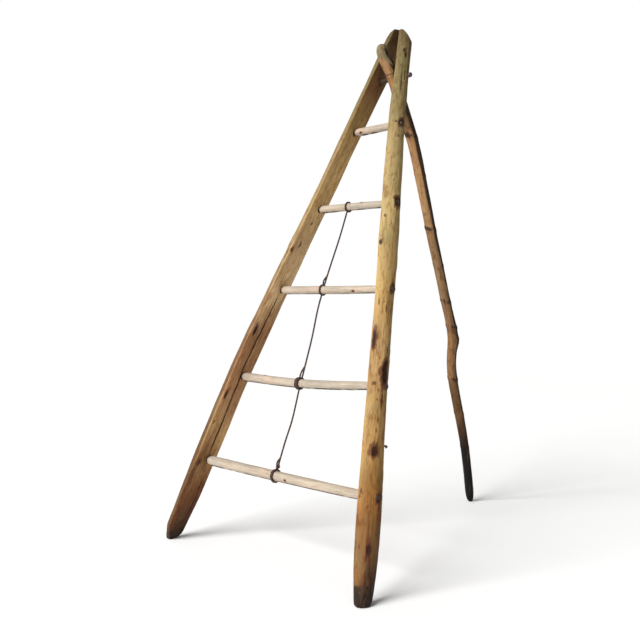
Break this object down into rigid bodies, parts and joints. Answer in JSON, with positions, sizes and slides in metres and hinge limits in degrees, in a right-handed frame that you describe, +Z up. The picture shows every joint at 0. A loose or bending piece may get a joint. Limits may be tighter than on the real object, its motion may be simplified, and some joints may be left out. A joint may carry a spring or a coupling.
{
  "type": "orchard tripod ladder",
  "caption": "Rustic wooden tripod ladder: half-round pole stiles meeting at a point, whittled rungs in through tenons, and a crooked pole leg swinging on a wooden peg.",
  "frame": {"origin": "on the floor, in the middle of the footprint of the two stile feet and the leg foot", "axes": "+Z up, +X across the ladder along the rungs, -Y the climber's side, +Y the side of the rear leg"},
  "size_m": [0.9984, 1.3056, 1.9592],
  "materials": {
    "stile_wood": "peeled and weathered, semi-matt",
    "rung_wood": "whittled, bare, matt",
    "leg_wood": "thin reddish bark, worn, satin",
    "peg_wood": "weathered grey, matt",
    "nail_iron": "rusted, matt",
    "tie_wire": "dark, dull, weathered"
  },
  "bodies": {
    "ladder": {"left_stile": "stile_wood", "right_stile": "stile_wood", "pivot_peg": "peg_wood", "left_tenon_nails": "nail_iron", "right_tenon_nails": "nail_iron", "bent_nail": "nail_iron", "rung_1": "rung_wood", "rung_2": "rung_wood", "rung_3": "rung_wood", "rung_4": "rung_wood", "rung_5": "rung_wood", "wire_turns_2": "tie_wire", "wire_turns_3": "tie_wire", "wire_turns_4": "tie_wire", "wire_turns_5": "tie_wire", "wire_span_1": "tie_wire", "wire_span_2": "tie_wire", "wire_span_3": "tie_wire", "wire_knot": "tie_wire"},
    "leg": {"rear_leg": "leg_wood", "head_binding": "nail_iron"}
  },
  "joints": [
    {"name": "leg_swing", "type": "hinge", "parent": "ladder", "child": "leg", "pos_m": [0, 0.0915, 1.75], "axis": [1, 0, 0], "range_deg": [-38, 105]}
  ]
}
